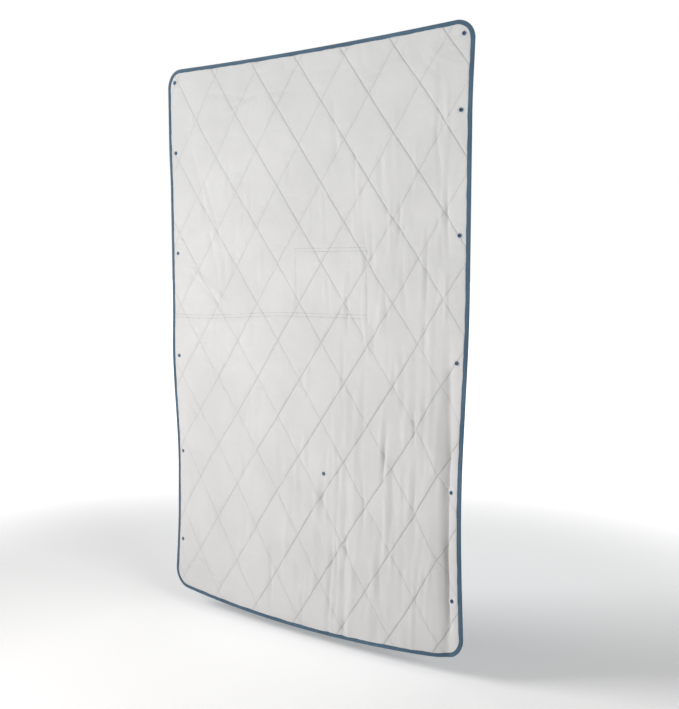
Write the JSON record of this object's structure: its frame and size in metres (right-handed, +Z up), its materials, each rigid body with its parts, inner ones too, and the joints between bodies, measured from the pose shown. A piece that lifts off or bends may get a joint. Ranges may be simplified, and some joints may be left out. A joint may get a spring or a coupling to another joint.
{
  "type": "quilted camp blanket",
  "caption": "Diamond-quilted insulated camp blanket hanging by its top edge, with bound rounded edges, press snaps along both long sides and a zipped stuff pocket on its shell side.",
  "frame": {"origin": "middle of the blanket's top edge, where it hangs", "axes": "+Z up along the length, +X across towards the side whose snap sockets face the lining, lining faces -Y and shell fabric +Y"},
  "size_m": [1.2713, 0.0445, 2.0081],
  "materials": {
    "lining_cloth": "plain woven polyester, matt",
    "shell_cloth": "ripstop nylon, slight sheen",
    "wadding": "bonded polyester wadding",
    "binding_cloth": "folded woven binding",
    "snap_plastic": "moulded acetal, satin",
    "zip_tape": "knitted zip tape",
    "zip_coil": "nylon coil",
    "zip_zinc": "plated zinc casting"
  },
  "bodies": {
    "blanket": {"lining_fabric": "lining_cloth", "insulation_batting": "wadding", "shell_fabric": "shell_cloth", "edge_binding": "binding_cloth", "snap_cap_left_1": "snap_plastic", "snap_stud_left_1": "snap_plastic", "snap_cap_left_2": "snap_plastic", "snap_stud_left_2": "snap_plastic", "snap_cap_left_3": "snap_plastic", "snap_stud_left_3": "snap_plastic", "snap_cap_left_4": "snap_plastic", "snap_stud_left_4": "snap_plastic", "snap_cap_left_5": "snap_plastic", "snap_stud_left_5": "snap_plastic", "snap_cap_left_6": "snap_plastic", "snap_stud_left_6": "snap_plastic", "snap_cap_right_1": "snap_plastic", "snap_socket_right_1": "snap_plastic", "snap_cap_right_2": "snap_plastic", "snap_socket_right_2": "snap_plastic", "snap_cap_right_3": "snap_plastic", "snap_socket_right_3": "snap_plastic", "snap_cap_right_4": "snap_plastic", "snap_socket_right_4": "snap_plastic", "snap_cap_right_5": "snap_plastic", "snap_socket_right_5": "snap_plastic", "snap_cap_right_6": "snap_plastic", "snap_socket_right_6": "snap_plastic", "snap_cap_centre": "snap_plastic", "snap_stud_centre": "snap_plastic", "pocket_panel": "shell_cloth", "zip_tape_upper": "zip_tape", "zip_tape_lower": "zip_tape", "zip_coil_upper": "zip_coil", "zip_coil_lower": "zip_coil", "zip_stop_closed_end": "zip_zinc", "zip_stop_open_end": "zip_zinc"},
    "zip_slider": {"zip_slider": "zip_zinc"},
    "zip_pull": {"zip_pull": "zip_zinc"}
  },
  "joints": [
    {"name": "zip_slide", "type": "slide", "parent": "blanket", "child": "zip_slider", "axis": [-1, 0, 0], "range_m": [0, 0.27]},
    {"name": "pull_hinge", "type": "hinge", "parent": "zip_slider", "child": "zip_pull", "pos_m": [0.2494, 0.0095, -0.666], "axis": [0, 0, -1], "range_deg": [0, 170]}
  ]
}
